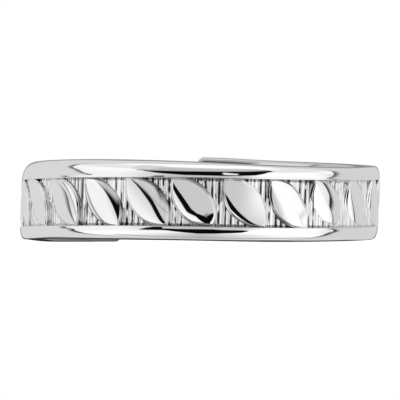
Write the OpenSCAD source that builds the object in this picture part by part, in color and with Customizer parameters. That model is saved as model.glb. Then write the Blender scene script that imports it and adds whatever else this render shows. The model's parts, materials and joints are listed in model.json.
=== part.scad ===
// Open toe ring, cast in one piece. A flat band is bent round into an open ring. It has a
// smooth rounded rail along each edge, and in the channel between the rails a row of domed
// leaves that slant from the upper left to the lower right. The ring has been sprung, so its
// right-hand end stands a little higher than the front and its left-hand end a little lower.
// It lies on its lower edge, with its hole upright and the front of the band towards -Y.

/* [Band] */
// Diameter of the hole for the toe
inner_d = 14.6; // [12:0.1:19]
// Thickness of the band, from the hole to the crest of the rails
wall = 1.0; // [0.7:0.05:1.6]
// Width of the band, along the toe
band_w = 3.5; // [3:0.1:6]
// Width of each smooth rail
rail_w = 0.65; // [0.5:0.05:1]
// Radius that rounds each rail over to the edge of the band
rail_round = 0.6; // [0.2:0.05:0.6]
// Chamfer round the two edges of the hole
bore_edge = 0.12; // [0.05:0.01:0.2]

/* [Leaves] */
// Depth of the channel below the crest of the rails
channel_depth = 0.28; // [0.15:0.01:0.4]
// Slant of a leaf's long axis from the run of the band, in degrees
leaf_slant = 47; // [40:1:60]
// Width of a leaf across its long axis
leaf_w = 1.58; // [1:0.02:1.7]
// Height by which the leaves stand proud of the rails
leaf_rise = 0.03; // [0:0.01:0.1]
// Radius of a leaf's dome across its long axis
dome_across = 1.25; // [1:0.05:2]
// Radius of a leaf's dome along its long axis
dome_along = 4.3; // [3:0.1:8]
// Gap between a leaf's tip and the rail next to it
tip_gap = 0.04; // [0.02:0.01:0.1]
// Stretch of bare channel between a leaf's tip and the next leaf
leaf_spacing = 0.19; // [0.1:0.01:0.5]
// Angle from the middle of the front to the bare stretch that the leaves are counted from
seam_turn = 5.5; // [0:0.5:14]

/* [Ends] */
// Angle from the middle of the front to the right-hand end, in degrees
right_end = 181.5; // [150:0.5:182]
// Angle from the middle of the front to the left-hand end, in degrees
left_end = 150; // [130:0.5:170]
// Least length of plain band between the last leaf and an end
plain_end = 0.75; // [0.4:0.05:1.5]
// Radius of the corners of an end, seen from outside
end_corner = 0.4; // [0.2:0.05:0.6]
// Radius that softens the outer edge of an end, seen from above
end_soft = 0.3; // [0.1:0.05:0.5]

/* [Sprung shape] */
// Height that each half gains or loses from the front to the far side
end_lift = 0.37; // [0.1:0.01:0.8]
// Lean of the whole ring towards the right as it lies, in degrees
rest_lean = 1.14; // [0:0.02:2]
// Tip of the whole ring towards the front as it lies, in degrees
rest_tip = 0.78; // [0:0.02:2]

/* [Hidden] */
$fn = 96;
cut = 0.5;
half_w = band_w / 2;
bore_r = inner_d / 2;
crest_r = bore_r + wall;
ground_r = crest_r - channel_depth;
channel_w = band_w - 2 * rail_w;
leaf_l = (channel_w - 2 * tip_gap) / sin(leaf_slant);
leaf_root = (wall - channel_depth) / 2;
leaf_pitch = degrees(leaf_l * cos(leaf_slant) + leaf_spacing);
lift_angle = asin(end_lift / (2 * crest_r));
edge_r = crest_r - rail_round;
right_edge = [for (angle = [0 : right_end - seam_turn]) edge_height(1, angle)];
left_edge = [for (angle = [0 : left_end + seam_turn]) edge_height(-1, angle)];
left_foot = edge_height(-1, left_end + seam_turn - degrees(end_corner));
seat_z = -min([min(right_edge), min(left_edge), left_foot]);

// Angle that a length along the band takes up
function degrees(run) = run / crest_r * 180 / PI;

// A point turned about each of the three axes
function about_x(p, a) = [p.x, p.y * cos(a) - p.z * sin(a), p.y * sin(a) + p.z * cos(a)];
function about_y(p, a) = [p.x * cos(a) + p.z * sin(a), p.y, p.z * cos(a) - p.x * sin(a)];
function about_z(p, a) = [p.x * cos(a) - p.y * sin(a), p.x * sin(a) + p.y * cos(a), p.z];

// Height of the band's lower edge, before the ring is lifted to its seat
function edge_height(side, angle) =
    let (
        tilt = side * lift_angle,
        section = [crest_r, 0, 0] + about_y([edge_r - crest_r, 0, -half_w], -tilt),
        flat = about_z(section, side * angle - 90),
        tipped = about_x(flat + [0, crest_r, 0], tilt) - [0, crest_r, 0]
    )
    about_y(about_x(about_z(tipped, seam_turn), rest_tip), rest_lean).z;

// What is left over when a circle is taken out of one corner of a square
module corner_waste(radius) {
    difference() {
        square(radius + cut);
        circle(radius);
    }
}

// The band cut across: the hole side is at bore_r and the crests of the rails at crest_r
module band_section() {
    difference() {
        translate([bore_r - cut / 2, -half_w]) square([wall + cut / 2, band_w]);
        for (side = [0, 1]) mirror([0, side]) {
            translate([crest_r - rail_round, half_w - rail_round]) corner_waste(rail_round);
            translate([bore_r, half_w - bore_edge])
                polygon([[-cut, -cut], [-cut, cut], [bore_edge + cut, bore_edge + cut]]);
        }
    }
}

// The channel cut across
module channel_section() {
    translate([ground_r, -channel_w / 2]) square([channel_depth + cut, channel_w]);
}

// Leans a section by the tilt of its half, so that it still stands upright at the front
module leaned(tilt) {
    translate([crest_r, 0]) rotate(tilt) translate([-crest_r, 0]) children();
}

// Turns a section about the axis, between two angles counted from the front
module sweep_round(side, from, to) {
    mirror([side > 0 ? 0 : 1, 0, 0]) rotate([0, 0, from - 90])
        rotate_extrude(angle = to - from) children();
}

// Puts a shape that was drawn flat on the outside of the band, facing away from the axis
module on_band(angle, radius, tilt) {
    rotate([0, 0, angle - 90]) translate([crest_r, 0, 0]) rotate([0, -tilt, 0])
        translate([radius - crest_r, 0, 0]) rotate([90, 0, 90]) children();
}

// Outline of a leaf: two equal arcs that meet at its tips
module leaf_outline() {
    arc_r = (pow(leaf_l / 2, 2) + pow(leaf_w / 2, 2)) / leaf_w;
    intersection_for(side = [-1, 1])
        translate([0, side * (arc_r - leaf_w / 2)]) circle(arc_r);
}

// One leaf, rooted in the band and domed across and along
module leaf() {
    crest = crest_r + leaf_rise - ground_r + leaf_root;
    rotate([0, 0, -leaf_slant]) intersection() {
        linear_extrude(height = crest + cut) leaf_outline();
        translate([0, 0, crest - dome_along]) rotate([90, 0, 0])
            rotate_extrude() translate([dome_along - dome_across, 0]) circle(dome_across);
    }
}

// Rounds the two corners and the outer edge of an end; side is 1 on the right, -1 on the left
module end_waste(side, sweep, tilt) {
    facing = side > 0 ? 0 : 1;
    for (flip = [0, 1])
        on_band(side * sweep, 0, tilt) mirror([0, flip, 0]) linear_extrude(height = crest_r + cut)
            mirror([facing, 0]) translate([-end_corner, half_w - end_corner])
                corner_waste(end_corner);
    rotate([0, 0, side * sweep - 90]) mirror([0, facing, 0])
        translate([crest_r - end_soft, -end_soft, -band_w])
            linear_extrude(height = 2 * band_w) corner_waste(end_soft);
}

// One half of the ring, from the seam at the front to its end, lying flat
module flat_half(side, sweep, tilt) {
    count = floor((sweep - degrees(plain_end)) / leaf_pitch);
    difference() {
        union() {
            difference() {
                sweep_round(side, 0, sweep) leaned(tilt) band_section();
                sweep_round(side, -leaf_pitch, count * leaf_pitch) leaned(tilt) channel_section();
            }
            for (i = [0 : count - 1])
                on_band(side * (i + 0.5) * leaf_pitch, ground_r - leaf_root, tilt) leaf();
        }
        end_waste(side, sweep, tilt);
    }
}

// A half tipped up or down about the front, as the sprung ring is
module sprung_half(side, sweep) {
    tilt = side * lift_angle;
    translate([0, -crest_r, 0]) rotate([tilt, 0, 0]) translate([0, crest_r, 0])
        flat_half(side, sweep, tilt);
}

// The whole ring as it lies, with its round hole cut through last
module ring_band() {
    color("silver") translate([0, 0, seat_z]) rotate([rest_tip, rest_lean, 0]) difference() {
        rotate([0, 0, seam_turn]) union() {
            sprung_half(1, right_end - seam_turn);
            sprung_half(-1, left_end + seam_turn);
        }
        cylinder(h = 4 * band_w, r = bore_r, center = true);
    }
}

ring_band();
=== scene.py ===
import json

import bpy
import numpy as np
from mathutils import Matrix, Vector


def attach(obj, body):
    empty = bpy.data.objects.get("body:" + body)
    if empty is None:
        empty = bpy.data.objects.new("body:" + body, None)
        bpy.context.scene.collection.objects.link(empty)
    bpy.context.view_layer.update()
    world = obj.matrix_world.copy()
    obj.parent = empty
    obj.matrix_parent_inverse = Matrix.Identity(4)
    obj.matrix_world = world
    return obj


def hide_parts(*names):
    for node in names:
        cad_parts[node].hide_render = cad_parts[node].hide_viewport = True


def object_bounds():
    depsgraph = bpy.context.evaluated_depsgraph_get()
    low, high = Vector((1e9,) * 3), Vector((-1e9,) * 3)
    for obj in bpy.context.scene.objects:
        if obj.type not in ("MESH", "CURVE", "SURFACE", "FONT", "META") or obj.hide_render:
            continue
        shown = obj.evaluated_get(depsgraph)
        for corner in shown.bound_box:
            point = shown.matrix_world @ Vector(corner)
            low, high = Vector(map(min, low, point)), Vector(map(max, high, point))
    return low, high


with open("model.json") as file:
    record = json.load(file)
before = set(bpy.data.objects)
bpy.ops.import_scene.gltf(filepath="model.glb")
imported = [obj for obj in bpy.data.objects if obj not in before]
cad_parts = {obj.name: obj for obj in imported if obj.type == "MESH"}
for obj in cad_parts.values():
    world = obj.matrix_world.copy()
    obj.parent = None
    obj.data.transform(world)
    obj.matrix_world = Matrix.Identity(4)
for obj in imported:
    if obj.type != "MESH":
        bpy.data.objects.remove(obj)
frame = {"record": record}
cad_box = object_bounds()

# The view
# The ring lies on its side, so that it is looked at from the front, nearly along the table.
# A long lens stands just above the table and looks up by half a degree. Sizes are in
# millimetres. The picture is image_side pixels wide, and photo_scale of them show one.
MM = 0.001
image_side = 400
photo_scale = 21.52
camera_away = 175
camera_height = 0.25
aim_right = 0.005
aim_height = 1.996
near_clip = 10
far_clip = 10000

camera_data = bpy.data.cameras.new("camera")
camera = bpy.data.objects.new("camera", camera_data)
bpy.context.scene.collection.objects.link(camera)
camera.location = (0, -camera_away * MM, camera_height * MM)
aim = Vector((aim_right * MM, 0, aim_height * MM)) - camera.location
camera.rotation_euler = aim.to_track_quat("-Z", "Y").to_euler()
camera_data.lens = camera_data.sensor_width * aim.length / (image_side / photo_scale * MM)
camera_data.clip_start = near_clip * MM
camera_data.clip_end = far_clip * MM
bpy.context.scene.camera = camera
bpy.context.scene.view_settings.view_transform = "Standard"

# The band
# A flat strip of cast silver, bent round into a ring that stays open at the back. A smooth
# rounded rail runs along each of its edges, and a channel is sunk between the two. A turn is
# an angle in degrees, from the middle of the front towards the right.
bore = frame["record"]["mounts"][0]
bore_r = bore["dims"]["r_mm"]
seat = bore["pos_m"][2] / MM
lean_x = bore["axis"][0] / bore["axis"][2]
lean_y = bore["axis"][1] / bore["axis"][2]
leaf_rise = 0.03
crest_r = (cad_box[1][0] - cad_box[0][0]) / 2 / MM - leaf_rise
wall = crest_r - bore_r
right_end = 181.5
left_end = -150.0
bore_chamfer = 0.12
end_corner = 0.4
end_soft = 0.3
# How the ring is sprung about its seam at the front, and how it leans and sags
seam = 5.5
half_lift = 0.185
wall_lean = 0.0176
side_sag = 0.028
sag_shift = 0.008
# The channel, and the bed under its scored ground
channel_half = 1.067
channel_up = 0.01
channel_depth = 0.28
channel_left = -144.1
channel_right = 170.1
channel_end_run = 0.3
bed_depth = 0.05
# The rails: a width and its changes, each an amount that comes in from one turn to another
lower_rail = 0.64
lower_changes = [(-0.06, -20, -60), (-0.02, 20, 50), (0.085, -95, -120), (-0.04, -125, -150)]
upper_rail = 0.733
upper_swing = 0.125
upper_changes = [(0.055, 150, 175)]
rail_drop = 0.6
side_drop = 0.22
tight_turns = (55, 80)
lip_r = 0.035
# The painted shade, a darkening painted into the silver's colour: 0 is bright and 1 is black
# Painted shadow along the lower chamfer and edge, where the ring meets the table
painted_foot_shade = 0.8
# Painted shade along the upper chamfer and edge, a dark outline there
painted_brow_shade = 0.3
# A little painted shade on the hole side
painted_bore_shade = 0.1
# Painted shade over the rails' lips and down the channel's walls, and in full on its bed
painted_lip_shade = 0.4
painted_wall_shade = 0.6
# How far the painted shade fades towards the sides, and the turns over which it fades
side_fade = 0.75
fade_turns = (35, 60)
# How fine the band's grid is
hole_columns = 5
rail_columns = 25
lip_columns = 6
band_rows = 721
end_rows = 12
step_rows = 5
step_reach = 0.4
least_step = 0.005


def smooth(value, start, end):
    """0 before the start and 1 beyond the end, with the cubic 3t^2 - 2t^3 between them. The
    end may be the lower one."""
    t = np.clip((value - start) / (end - start), 0, 1)
    return t * t * (3 - 2 * t)


def middle_height(turn):
    """Height of the band's middle at a turn: the plane that the ring leans in, plus or minus
    the half of the lift times 1 - cos of the turn from the seam, less the sag of the two sides,
    which goes by 1 - cos of twice the turn and is larger on the left by the shift."""
    a = np.radians(turn)
    plane = seat - crest_r * np.sin(a) * lean_x + crest_r * np.cos(a) * lean_y
    lift = np.sign(turn - seam) * half_lift * (1 - np.cos(np.radians(turn - seam)))
    sag = (side_sag - sag_shift * np.sin(a)) * (1 - np.cos(2 * a))
    return plane + lift - sag


def on_ring(turn, r, up):
    """Points at a turn, a radius and a height above the band's middle, in metres. The band
    leans as a whole, by a share of the height."""
    a = np.radians(turn)
    x = r * np.sin(a) + up * (lean_x + wall_lean)
    y = -r * np.cos(a) + up * lean_y
    return np.stack([x, y, middle_height(turn) + up], axis=-1) * MM


def rail_width(turn, side):
    """Width of a rail, of the upper one where side is 1 and of the lower one where it is -1.
    The upper one goes from wide on the left of the front to narrow on its right by the sine of
    one and a half turns. To both are added their changes, each by the smooth cubic."""
    width, changes = lower_rail, lower_changes
    if side > 0:
        width = upper_rail - upper_swing * np.sin(np.radians(np.clip(1.5 * turn, -90, 90)))
        changes = upper_changes
    for amount, start, end in changes:
        width = width + amount * smooth(turn, start, end)
    return width


def rail_round(turn, side):
    """Depth over which a rail rounds over to the band's edge. At the sides of the ring it is
    less than at the front, but not at the upper left."""
    at_side = smooth(np.abs(turn), *tight_turns) * np.where((side > 0) & (turn < 0), 0, 1)
    return rail_drop + (side_drop - rail_drop) * at_side


def rail_side(turn, side, depth):
    """Half of the band cut across, a row for each turn: grids of the radius, of the height, of
    the painted shade in the creases and of the painted shade all along. The columns go from the
    middle of the hole side to the chamfer, across it, up the edge, by a quarter ellipse to the
    crest of the rail, by a quarter circle over its lip, down the wall and along the bed to the middle."""
    inner = channel_half + side * channel_up
    edge = (inner + rail_width(turn, side))[:, None]
    drop = rail_round(turn, side)[:, None]
    depth = depth[:, None]
    lip = lip_r * depth / channel_depth
    over = edge - inner - lip
    # Painted shadow along the lower chamfer and edge, and painted shade along the upper ones
    foot = painted_foot_shade if side < 0 else painted_brow_shade
    hole = np.linspace(0.0, 0.8, hole_columns)
    chamfer = np.linspace(0.0, 1.0, 3)
    rail = np.linspace(np.pi / 2, 0, rail_columns)
    bend = np.linspace(0, np.pi / 2, lip_columns)[1:]
    down = np.array([0.3, 0.65, 1.0])
    bed = np.array([0.66, 0.33])
    parts = [
        (bore_r, hole * (edge - bore_chamfer), 0.0, painted_bore_shade),
        (bore_r + chamfer * bore_chamfer, edge - (1 - chamfer) * bore_chamfer, 0.0, foot),
        (bore_r + bore_chamfer + (wall - drop - bore_chamfer) / 2, edge, 0.0, foot / 2),
        (crest_r - drop * (1 - np.cos(rail)), inner + lip + over * np.sin(rail), 0.0, 0.0),
        # Painted shade over the lip, down the wall and on the bed
        (crest_r - lip * (1 - np.cos(bend)), inner + lip * (1 - np.sin(bend)), bend * painted_lip_shade, 0.0),
        (crest_r - lip - down * (depth - lip), inner, painted_wall_shade, 0.0),
        (crest_r - depth, inner * bed, 1.0, 0.0),
    ]
    parts = [np.broadcast_arrays(*part) for part in parts]
    r, up, crease, dull = (np.concatenate(kind, axis=1) for kind in zip(*parts))
    return r, side * up, crease, dull


def shade_kept(turn):
    """Share of the painted shade that is kept in the creases: it falls towards the sides."""
    return 1 - side_fade * smooth(np.abs(turn), *fade_turns)


def band_points():
    """The band's grid and its painted shade. The rows are closer together at the two ends, where
    the section narrows by the corner's arc and thins by the arc that softens its outer edge, and
    where the channel begins and ends."""
    reach = np.degrees(end_corner / crest_r)
    near = reach * (1 - np.cos(np.linspace(0, np.pi / 2, end_rows)))
    step = np.linspace(-step_reach, step_reach, step_rows)
    even = np.linspace(left_end + reach, right_end - reach, band_rows)
    rows = [left_end + near, even, channel_left + step, channel_right + step, right_end - near]
    turn = np.sort(np.concatenate(rows))
    turn = turn[np.concatenate([[True], np.diff(turn) > least_step])]
    inside = smooth(turn, channel_left - channel_end_run, channel_left)
    inside = inside * smooth(turn, channel_right + channel_end_run, channel_right)
    depth = (channel_depth + bed_depth) * inside
    halves = zip(rail_side(turn, 1, depth), rail_side(turn, -1, depth))
    r, up, crease, dull = (np.hstack([upper, lower[:, :0:-1]]) for upper, lower in halves)
    left = np.radians(np.minimum(turn - left_end, right_end - turn)) * crest_r
    corner = end_corner - np.clip(left, 0, end_corner)
    soft = end_soft - np.clip(left, 0, end_soft)
    cut_up = end_corner - np.sqrt(end_corner**2 - corner**2)
    cut_out = end_soft - np.sqrt(end_soft**2 - soft**2)
    up = up * (1 - cut_up / np.abs(up).max(axis=1))[:, None]
    r = bore_r + (r - bore_r) * (1 - cut_out / (crest_r - bore_r))[:, None]
    # Painted shade in the creases, kept by the share at each turn, plus the painted shade all along
    painted_shade = crease * (inside * shade_kept(turn))[:, None] + dull
    return on_ring(turn[:, None], r, up)[None], painted_shade[None]


def grid_mesh(name, points, painted_shade):
    """A closed mesh on grids of points, an array of copies by rows by columns: each cell is one
    quad, the last column joins the first, and each end row joins one point at its middle.
    Its faces are turned round if the volume, the sum of p.(q x r) / 6, comes out negative.
    The painted shade becomes an attribute of the points, and is 0 at the two middles."""
    copies, rows, columns = points.shape[:3]
    index = np.arange(rows * columns).reshape(rows, columns)
    index = np.hstack([index, index[:, :1]])
    quads = np.stack([index[:-1, :-1], index[:-1, 1:], index[1:, 1:], index[1:, :-1]], axis=-1)
    quads = quads.reshape(-1, 4)
    first = np.full(columns, rows * columns)
    fans = [[first, index[0, 1:], index[0, :-1]], [first + 1, index[-1, :-1], index[-1, 1:]]]
    fans = np.stack(fans).transpose(0, 2, 1).reshape(-1, 3)
    poles = points[:, [0, -1]].mean(axis=2)
    places = np.concatenate([points.reshape(copies, -1, 3), poles], axis=1)
    p, q, r = (places[0][fans[:, i]] for i in range(3))
    a, b, c, d = (places[0][quads[:, i]] for i in range(4))
    volume = np.sum(p * np.cross(q, r)) + np.sum(a * np.cross(b, c)) + np.sum(a * np.cross(c, d))
    if volume < 0:
        quads, fans = quads[:, ::-1], fans[:, ::-1]
    starts = np.arange(copies)[:, None, None] * places.shape[1]
    faces = (quads + starts).reshape(-1, 4).tolist() + (fans + starts).reshape(-1, 3).tolist()
    mesh = bpy.data.meshes.new(name)
    mesh.from_pydata(places.reshape(-1, 3).tolist(), [], faces)
    mesh.shade_smooth()
    values = np.concatenate([painted_shade.reshape(copies, -1), np.zeros((copies, 2))], axis=1)
    values = values.ravel().astype(np.float32)
    mesh.attributes.new("painted_shade", "FLOAT", "POINT").data.foreach_set("value", values)
    return mesh


class Wire:
    """A shader socket. Sums, differences, products and quotients of wires and numbers, and a
    wire's negative and its distance from 0, add Math nodes."""

    def __init__(self, tree, socket=None):
        self.tree = tree
        self.socket = socket

    def node(self, kind, settings=(), sockets=(), output=0):
        """Adds a node of the given type, with its settings, and the values or links of its
        sockets by name or number. Gives the wire of one of its outputs."""
        made = self.tree.nodes.new("ShaderNode" + kind)
        for name, value in dict(settings).items():
            setattr(made, name, value)
        for name, value in dict(sockets).items():
            if isinstance(value, Wire):
                self.tree.links.new(value.socket, made.inputs[name])
            else:
                made.inputs[name].default_value = value
        return Wire(self.tree, made.outputs[output]) if made.outputs else None

    def math(self, operation, first, second=0.0):
        return self.node("Math", {"operation": operation}, {0: first, 1: second})

    def __add__(self, other):
        return self.math("ADD", self, other)

    def __radd__(self, other):
        return self.math("ADD", other, self)

    def __sub__(self, other):
        return self.math("SUBTRACT", self, other)

    def __rsub__(self, other):
        return self.math("SUBTRACT", other, self)

    def __mul__(self, other):
        return self.math("MULTIPLY", self, other)

    def __rmul__(self, other):
        return self.math("MULTIPLY", other, self)

    def __truediv__(self, other):
        return self.math("DIVIDE", self, other)

    def __neg__(self):
        return 0.0 - self

    def __abs__(self):
        return self.math("MAXIMUM", self, -self)

    def rise(self, low, high):
        """0 below low and 1 above high, smooth between them."""
        ends = {"Value": self, "From Min": low, "From Max": high}
        return self.node("MapRange", {"interpolation_type": "SMOOTHSTEP"}, ends)

    def blend(self, under, over):
        """The colour under where this wire is 0, and the colour over where it is 1. A Mix node
        has its factor at 0, its two colours at 6 and 7, and the mixed colour at output 2."""
        return self.node("Mix", {"data_type": "RGBA"}, {0: self, 6: under, 7: over}, output=2)


clean_colour = (0.955, 0.955, 0.96, 1)
# The near black painted into the silver where it has painted shade, and the roughness that comes with
# it
painted_shade_colour = (0.03, 0.03, 0.032, 1)
painted_shade_roughness = 0.3
scratch_scale = 9000.0
scratch_range = (0.55, 0.8)
ripple_scale = 900.0


def silver(name, polish, ripple):
    """White silver. Its roughness is polish, and up to twice that in fine short scratches, and
    its surface ripples by ripple. The painted shade makes it darker and rougher."""
    material = bpy.data.materials.new(name)
    material.use_nodes = True
    material.node_tree.nodes.clear()
    start = Wire(material.node_tree)
    place = start.node("TexCoord", output="Object")
    scratch = start.node("TexNoise", {}, {"Vector": place, "Scale": scratch_scale, "Detail": 3.0})
    wave = start.node("TexNoise", {}, {"Vector": place, "Scale": ripple_scale, "Detail": 1.0})
    # The painted shade, read from the points
    painted_shade = start.node("Attribute", {"attribute_name": "painted_shade"}, output="Fac")
    sockets = {
        "Base Color": painted_shade.blend(clean_colour, painted_shade_colour),
        "Metallic": 1.0,
        "Roughness": polish + scratch.rise(*scratch_range) * polish + painted_shade * painted_shade_roughness,
        "Normal": start.node("Bump", {}, {"Height": wave, "Distance": ripple * MM, "Strength": 1.0}),
    }
    shader = start.node("BsdfPrincipled", {}, sockets)
    start.node("OutputMaterial", {}, {"Surface": shader})
    return material


def add_piece(name, points, painted_shade, material):
    """A piece of the ring, in place of the plain solid, moving with its one body."""
    mesh = grid_mesh(name, points, painted_shade)
    mesh.materials.append(material)
    piece = bpy.data.objects.new(name, mesh)
    bpy.context.scene.collection.objects.link(piece)
    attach(piece, "root")
    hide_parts("ring_band")


mirror_silver = silver("mirror_silver", polish=0.03, ripple=0.0006)
add_piece("band", *band_points(), mirror_silver)

# The scored ground
# The floor of the channel, scored across with fine lines by a graver, so that it looks dull
# and streaked beside the polished leaves. The deepest lines are painted black, a painted shade.
score_pitch = 0.15
score_depth = 0.07
score_widths = (0.6, 1.4)
score_strengths = (0.6, 1.0)
knot_strengths = (0.2, 1.3)
weak_share = 0.45
# The painted shade in the scored lines: the depth where it starts, and over how much it turns black
black_from = 0.41
black_over = 0.06
# How much higher the ground is at the sides, and the turns where it rises and falls again
side_fill = 0.13
fill_turns = (55, 75)
unfill_turns = (95, 115)
# How far the ground runs in under the rails and the channel's ends, and how fine its grid is
under_rail = 0.01
under_end = 0.2
cells_a_score = 8
score_knots = 9
ground_columns = 15
score_random = np.random.default_rng(7)


def ground_points():
    """The grid of the scored ground and its painted shade: a top, and two columns underneath that
    close it. A score is a round groove, with the depth 1 - (2t - 1)^2 at the share t across it,
    times a strength that goes in straight lines from knot to knot along it. Every second score
    is weak. Painted shade lies where the depth passes black_from."""
    first = channel_left - under_end
    last = channel_right + under_end
    count = int((last - first) / np.degrees(score_pitch / crest_r))
    widths = score_random.uniform(*score_widths, count)
    edges = first + np.concatenate([[0], np.cumsum(widths / widths.sum())]) * (last - first)
    share = np.linspace(0, 1, cells_a_score + 1)[:-1]
    turn = (edges[:-1, None] + share * np.diff(edges)[:, None]).ravel()
    half = channel_half + under_rail
    height = np.linspace(-half, half, ground_columns)
    knots = np.linspace(-half, half, score_knots)
    strength = score_random.uniform(*score_strengths, (count, 1))
    strength = strength * np.where(np.arange(count) % 2 == 0, 1.0, weak_share)[:, None]
    strength = strength * score_random.uniform(*knot_strengths, (count, score_knots))
    spans = np.clip(np.searchsorted(knots, height) - 1, 0, score_knots - 2)
    part = (height - knots[spans]) / (knots[1] - knots[0])
    along = strength[:, spans] * (1 - part) + strength[:, spans + 1] * part
    groove = 1 - (2 * share - 1) ** 2
    cut = (along[:, None, :] * groove[None, :, None]).reshape(-1, ground_columns)
    # Painted shade in the deepest lines, kept by the share at each turn
    painted_shade = np.clip((cut - black_from) / black_over, 0, 1) * shade_kept(turn)[:, None]
    away = np.abs(turn)
    fill = side_fill * smooth(away, *fill_turns) * (1 - smooth(away, *unfill_turns))
    r = crest_r - channel_depth + fill[:, None] - score_depth * cut
    under_r = crest_r - channel_depth - bed_depth - score_depth
    r = np.pad(r, ((0, 0), (0, 2)), constant_values=under_r)
    painted_shade = np.pad(painted_shade, ((0, 0), (0, 2)))
    up = np.append(height, height[[-1, 0]]) + channel_up
    return on_ring(turn[:, None], r, up)[None], painted_shade[None]


scored_silver = silver("scored_silver", polish=0.12, ripple=0.0)
add_piece("scored_ground", *ground_points(), scored_silver)

# The leaves
# Twenty-one domed leaves, cast with the band and polished, slant across the channel from its
# upper left to its lower right. A narrow flat rim runs round each.
leaf_slant = np.radians(47)
leaf_w = 1.6
tip_gap = 0.005
leaf_l = 2 * (channel_half - tip_gap) / np.sin(leaf_slant)
leaf_start = 5.65
leaf_pitch = 14.96
root_depth = 0.06
# The leaves are counted in steps from the seam, where 0 is the first one on its right. Then
# comes how far each stands from the even spacing, in degrees, from the left end to the right.
leaf_steps = np.arange(-10, 11)
leaf_shift = [0, 0, -0.7, -1.5, -2.2, -2.6, -1.4, -0.5, 0.1, -0.2, 1]
leaf_shift += [1, 1.9, 3.4, 4.0, 3.2, 2.4, 1.6, 0.8, 0.1, 0]
# The flat rim: its width, and the step down to it
rim_w = 0.09
rim_step = 0.035
# Rows outside the face, each with its place, its shares of the step down to the rim and of the
# way down to the root, and its painted shade. The place is a share of the rim, then a share of
# side_out beyond the leaf's outline, and then a share of the leaf.
rim_rows = [(0.12, 0.5, 0.0, 0.1), (0.25, 1.0, 0.0, 0.4), (0.6, 1.0, 0.0, 0.0), (1.0, 1.0, 0.0, 0.6)]
side_rows = [(0.5, 1.0, 0.15, 0.5), (1.0, 1.0, 0.6, 0.3), (1.2, 1.0, 1.0, 0.3)]
under_rows = [(0.7, 1.0, 1.0, 0.0), (0.05, 1.0, 1.0, 0.0)]
side_out = 0.02
# How fine a leaf's grid is, and the least sizes that it divides by
face_rows = 26
face_start = 0.02
leaf_columns = 96
least_length = 0.3
least_half = 1e-6


def leaf_form(lower, upper, tips=(0.0, 0.0), fade=0.0, lean=(0.0, 0.0)):
    """The nine numbers of a leaf's face: for the lower and the upper flank, the slope at the
    edge and where the flank starts, as a share of the half width; how far the lower and the
    upper tip fall; the share by which the lower flank grows flatter towards the lower tip; and
    the slopes by which the whole face leans along and across the leaf."""
    return [*lower, *upper, *tips, fade, *lean]


# The leaves at the front mirror the studio each in its own way, so each has a form of its own,
# given by its step. The others share the plain form.
plain_form = leaf_form((0.6, 0.0), (0.15, 0.0), tips=(0.1, 0.0))
front_forms = {
    -4: leaf_form((0.2, 0.55), (0.4, 0.45), tips=(0.0, -0.05), fade=-0.25, lean=(-0.04, 0.03)),
    -3: leaf_form((0.45, -0.3), (0.75, -0.1), lean=(-0.03, -0.03)),
    -2: leaf_form((0.35, 0.55), (0.15, -0.8), tips=(0.08, -0.02), fade=-0.8, lean=(0.01, 0.04)),
    -1: leaf_form((0.5, -0.1), (0.1, 0.3), tips=(0.28, -0.07), fade=-0.55, lean=(-0.03, -0.06)),
    0: leaf_form((0.75, -0.5), (0.0, 0.25), tips=(-0.1, 0.0), fade=-1.0, lean=(0.06, -0.05)),
    1: leaf_form((0.4, 0.0), (0.8, 0.65), tips=(-0.08, -0.1), fade=0.6, lean=(-0.04, 0.03)),
    2: leaf_form((0.8, -0.06), (0.12, 0.33), tips=(0.2, -0.06), lean=(0.05, -0.03)),
    3: leaf_form((0.85, -0.25), (0.02, 0.0), tips=(-0.02, -0.06), lean=(0.055, 0.05)),
    4: leaf_form((0.85, -0.25), (0.1, 0.0)),
}


def leaf_half_width(along):
    """Half of a leaf's width at a distance along it from its middle: the two sides are equal
    arcs through the tips."""
    arc_r = ((leaf_l / 2) ** 2 + (leaf_w / 2) ** 2) / leaf_w
    return np.sqrt(np.maximum(arc_r**2 - along**2, 0)) - arc_r + leaf_w / 2


def leaf_relief(along, across, forms):
    """How far a leaf's face lies below its highest point. With q the share of the half width
    and s the share of the half length, each flank's slope grows evenly from its start to the
    edge, so the fall is half the slope times the square of the share past the start. It shrinks
    with the half width towards the tips, and the lower flank's also with s by its fade. Each
    tip falls by the third power of s, and the whole face leans along and across."""
    lower_slope, lower_start, upper_slope, upper_start = forms[:4]
    lower_tip, upper_tip, fade, lean_along, lean_across = forms[4:]
    half = np.maximum(leaf_half_width(along), least_half)
    q = np.clip(across / half, -1, 1)
    s = along / (leaf_l / 2)
    lower = lower_slope * (1 - fade * s) * np.clip(lower_start - q, 0, 2) ** 2 / (1 + lower_start)
    upper = upper_slope * np.clip(q - upper_start, 0, 2) ** 2 / (1 - upper_start)
    tips = lower_tip * np.clip(s, 0, 1) ** 3 + upper_tip * np.clip(-s, 0, 1) ** 3
    fall = half * (lower + upper) / 2 + tips + lean_along * along + lean_across * across
    return fall - fall.min(axis=(1, 2), keepdims=True)


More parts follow.
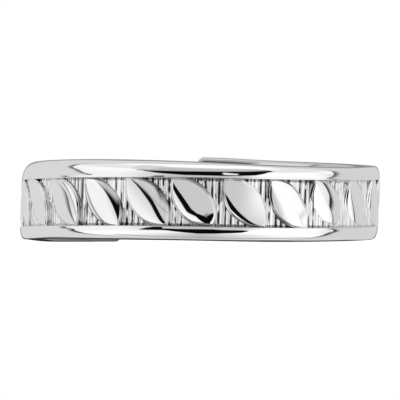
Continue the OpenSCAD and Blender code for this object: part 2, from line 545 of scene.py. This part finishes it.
def leaf_points():
    """Grids of the leaves and their painted shade: a column for each direction from the middle of a
    leaf, and rows from the middle of its face out to the rim, over the rim, down its side and
    back underneath."""
    way = np.linspace(0, 2 * np.pi, leaf_columns + 1)[:-1]
    out_along = np.cos(way) * leaf_l / 2
    out_across = np.sign(np.sin(way)) * leaf_half_width(out_along)
    length = np.hypot(out_along, out_across)
    face_share = 1 - rim_w / np.maximum(length, least_length)
    face = np.linspace(face_start, 1, face_rows)[:, None]
    rim, side, under = (np.array(rows)[:, :1] for rows in (rim_rows, side_rows, under_rows))
    share = np.concatenate([
        face * face_share,
        face_share + (1 - face_share) * rim,
        1 + side_out / length * side,
        under * np.ones(leaf_columns),
    ])
    outer = np.array(rim_rows + side_rows + under_rows)[:, 1:]
    step, sunk, painted_shade = np.vstack([np.zeros((face_rows, 3)), outer]).T[:, :, None]
    along, across = share * out_along, share * out_across
    forms = np.array([front_forms.get(int(number), plain_form) for number in leaf_steps])
    fall = leaf_relief(along, across, forms.T[:, :, None, None])
    top = crest_r + leaf_rise - fall - rim_step * step
    root = crest_r - channel_depth - root_depth
    r = top + (root - top) * sunk
    right = along * np.cos(leaf_slant) + across * np.sin(leaf_slant)
    up = -along * np.sin(leaf_slant) + across * np.cos(leaf_slant) + channel_up
    centres = leaf_start + (leaf_steps + 0.5) * leaf_pitch + np.array(leaf_shift)
    turn = centres[:, None, None] + np.degrees(right / crest_r)
    # Painted shade on the rim and down the side, kept by the share at each turn
    return on_ring(turn, r, up), painted_shade * shade_kept(turn)


add_piece("leaves", *leaf_points(), mirror_silver)

# The table
# A plain pale table top, lit from all round, that the ring lies on. It isn't part of the ring,
# and the polished silver mirrors the studio in place of it.
table_half = 400
table_colour = (0.9, 0.9, 0.9, 1)
table_glow = 0.45
table_mesh = bpy.data.meshes.new("table")
corner_signs = ((-1, -1), (1, -1), (1, 1), (-1, 1))
corners = [(x * table_half * MM, y * table_half * MM, 0) for x, y in corner_signs]
table_mesh.from_pydata(corners, [], [(0, 1, 2, 3)])
table = bpy.data.objects.new("table", table_mesh)
bpy.context.scene.collection.objects.link(table)
table.visible_glossy = False

table_paint = bpy.data.materials.new("table_paint")
table_paint.use_nodes = True
table_paint.node_tree.nodes.clear()
paint = Wire(table_paint.node_tree)
paint_sockets = {
    "Base Color": table_colour,
    "Roughness": 0.9,
    "Emission Color": (1, 1, 1, 1),
    "Emission Strength": table_glow,
}
paint_shader = paint.node("BsdfPrincipled", {}, paint_sockets)
paint.node("OutputMaterial", {}, {"Surface": paint_shader})
table_mesh.materials.append(table_paint)

# The studio
# Soft white light from all round, with a grey card round the lens, black cards above and below
# it, and a grey room behind the ring. The silver mirrors them, and the camera sees plain white.
# A ray's turn goes from the lens to the right and its tilt goes up, both in degrees.
world = bpy.data.worlds.new("studio")
world.use_nodes = True
world.node_tree.nodes.clear()
bpy.context.scene.world = world
studio = Wire(world.node_tree)
ray = studio.node("TexCoord", output="Generated")
ray_x, ray_y, ray_z = (studio.node("SeparateXYZ", {}, {"Vector": ray}, axis) for axis in "XYZ")
to_degrees = 180 / np.pi
turn_of_ray = studio.math("ARCTAN2", ray_x, -ray_y) * to_degrees
tilt_of_ray = studio.math("ARCSINE", ray_z) * to_degrees
is_up = ray_z.rise(-0.001, 0.001)
beside = abs(ray_x)
upright = studio.math("MAXIMUM", abs(ray_z), 0.01)


def level(value, points):
    """A line through the points, place and height by place and height, and level beyond them:
    the first height plus each stretch's rise times the share of it that is behind the value."""
    height = points[0][1]
    for (place_a, height_a), (place_b, height_b) in zip(points, points[1:]):
        share = {"Value": value, "From Min": place_a, "From Max": place_b}
        height = studio.node("MapRange", {}, share) * (height_b - height_a) + height
    return height


def card(lower, upper, soft_lower, soft_upper):
    """Where a card hangs: 1 between a lower and an upper edge, each a line of tilts over turns,
    that fades to 0 over twice its softness in degrees."""
    over = (tilt_of_ray - level(turn_of_ray, lower)).rise(-soft_lower, soft_lower)
    under = (level(turn_of_ray, upper) - tilt_of_ray).rise(-soft_upper, soft_upper)
    return over * under


# The light: brighter panels on the two sides, white overhead, and a floor that is brighter
# towards the sides
level_shade = 0.72
left_glow = 0.22
right_glow = 0.32
high_shade = 1.07
floor_shade = 0.5
floor_glow = 0.9
panels = (-turn_of_ray).rise(28, 55) * left_glow + turn_of_ray.rise(10, 38) * right_glow
level_light = panels * (1 - abs(turn_of_ray).rise(80, 102)) + level_shade
high_light = level_light + (high_shade - level_light) * upright.rise(0.3, 0.75)
floor_light = beside * floor_glow + floor_shade
light = floor_light + (high_light - floor_light) * ray_z.rise(-0.95, -0.6)

# The cards in front of the ring: pale and grey ones overhead, one round the lens, black ones
# above and below it, a glint in the upper black one, and a black strip to the left of the lens
pale_card = card([(0, 42)], [(-120, 64), (-40, 60), (50, 60), (120, 64)], 6, 6)
overhead = [(-70, 75), (-50, 45), (-45, 32), (40, 32), (60, 48), (80, 75)]
overhead_card = card(overhead, [(-50, 60), (50, 66)], 4, 8)
left_card = card([(-75, 75), (-50, 40), (-30, 40)], [(0, 68)], 4, 8)
left_card = left_card * (1 - turn_of_ray.rise(-42, -30))
lens_card = card([(-25, 13), (-24, -21), (40, -21)], [(0, 12)], 3, 3)
lens_card = lens_card * (1 - turn_of_ray.rise(22, 44))
above_lens = [
    (-52, 70), (-50, 47), (-38, 30), (-27, 20), (-16, 14), (-10, 11), (14, 10), (26, 13), (36, 18),
    (42, 27), (52, 41), (64, 50), (80, 70),
]
above_lens_top = [(-50, 42), (-38, 35), (-10, 36), (12, 40), (28, 44), (41, 48), (55, 53), (75, 60)]
above_card = card(above_lens, above_lens_top, 2, 4)
glint = card([(14, 30), (16, 18), (24, 18), (27, 30)], [(14, 24), (17, 33), (26, 26)], 2, 2)
below_lens = [
    (-43, -20), (-40, -26), (-24, -30), (-19, -40), (-12, -50), (-2, -58), (12, -56), (25, -48),
    (31, -42), (34, -24),
]
below_lens_top = [
    (-43, -28), (-40, -23), (-27, -21), (-24, -14), (-20, -15), (-14, -18), (8, -17), (15, -21),
    (30, -21), (36, -30),
]
below_card = card(below_lens, below_lens_top, 2, 2)
strip_bottom = [(-41, -18), (-39, -26), (-24, -26), (-23, 6)]
strip_card = card(strip_bottom, [(-40, -22), (-31, -2), (-29, 6)], 2, 2)

# A grey line across the floor, a little behind the ring
floor_off = ray_y - ray_x * 0.28 - 0.17
floor_line = floor_off.rise(-0.1, -0.03) * (1 - floor_off.rise(0.03, 0.1))
floor_line = floor_line * (1 - is_up) * (1 - beside.rise(0.45, 0.6))

# The grey room behind the ring. Its edges on the ceiling and on the floor are seen from the
# ring: how far back they are, over how far they are to the right, for one unit up or down.
ceiling_edge = [
    (-30, 3.0), (-8.5, 0.8), (-6.5, -1.9), (-5.3, -1.55), (-4, -0.85), (-3.2, -0.44), (-2.3, -0.08),
    (-1.9, 0.09), (-1.5, 0.36), (-1.33, 0.43), (-0.94, 0.44), (-0.76, 0.36), (-0.6, 0.2), (-0.4, 0.08),
    (-0.2, 0.02), (-0.05, 0.06), (0.13, 0.19), (0.25, 0.42), (0.42, 0.62), (0.62, 0.75), (0.95, 0.66),
    (1.2, 0.56), (2.0, 0.42), (3.3, 0.31), (5.4, 0.11), (14, -0.85),
]
floor_edge = [
    (-30, 3.0), (-6, 0.45), (-3.3, -0.03), (-1.7, 0.15), (-1.3, 0.18), (-1.0, 0.23), (-0.56, 0.22),
    (-0.41, 0.33), (-0.2, 0.6), (0.3, 0.7), (0.5, 0.56), (0.86, 0.42), (1.4, 0.33), (2.0, 0.31),
    (2.6, 0.43), (3.9, 0.6), (7.5, 0.62),
]
to_right = ray_x / upright
edge = level(to_right, ceiling_edge) * is_up + level(to_right, floor_edge) * (1 - is_up)
past_edge = ray_y - edge * upright
room = past_edge.rise(-0.01, 0.01)

# A dark line just inside the room's edge, darker beside the ring and paler overhead, and a dark
# doorway straight behind the ring
line_dark = (beside - upright * 0.6).rise(0.0, 0.4) * 0.6 + 0.4 - is_up * 0.18
room_line = room * (1 - past_edge.rise(0.02, 0.14)) * line_dark
doorway = ray_y.rise(0.5, 0.6) * (1 - beside.rise(0.14, 0.26))
doorway = doorway * (1 - upright.rise(0.7, 0.82)) * (1 - is_up * 0.4)

# Each is laid over those before it, in its own shade
shades = (
    (pale_card, 0.82),
    (overhead_card, 0.54),
    (left_card, 0.7),
    (lens_card, 0.61),
    (above_card, 0.003),
    (glint, 0.9),
    (below_card, 0.003),
    (strip_card, 0.004),
    (floor_line, 0.35),
    (room, 0.69 - ray_x * 0.03),
    (room_line, 0.03),
    (doorway, 0.04),
)
for inside, shade in shades:
    light = light * (1 - inside) + shade * inside
seen = studio.node("LightPath", output="Is Camera Ray")
light = light * (1 - seen) + seen
background = studio.node("Background", {}, {"Color": light, "Strength": 1.0})
studio.node("OutputWorld", {}, {"Surface": background})
